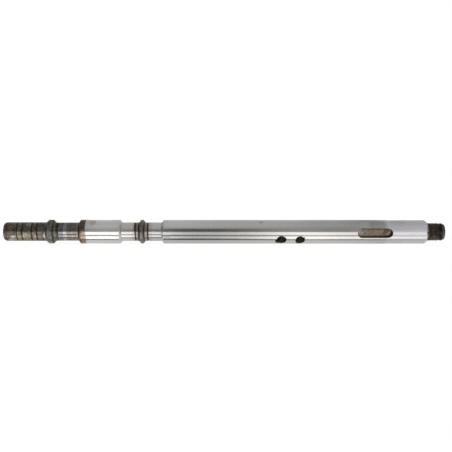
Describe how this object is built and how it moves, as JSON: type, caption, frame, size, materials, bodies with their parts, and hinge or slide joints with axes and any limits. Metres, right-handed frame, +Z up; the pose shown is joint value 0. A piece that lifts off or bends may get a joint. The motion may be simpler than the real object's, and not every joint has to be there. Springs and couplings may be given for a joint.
{
  "type": "gear selector shaft",
  "caption": "Stepped round steel shaft that slides in a gearbox to move the gears, with collars and necks at one end, cross pin holes, a milled slot and a short end stub.",
  "frame": {"origin": "on the shaft's axis, halfway along its length", "axes": "+X along the shaft towards the short right stub, -Y out of the slot, +Z up across the slot"},
  "size_m": [0.4606, 0.025, 0.025],
  "materials": {
    "shaft_steel": "ground journals and main bar, satin seat, heat-blackened stubs and collars"
  },
  "bodies": {
    "root": {"selector_shaft": "shaft_steel"}
  },
  "joints": []
}
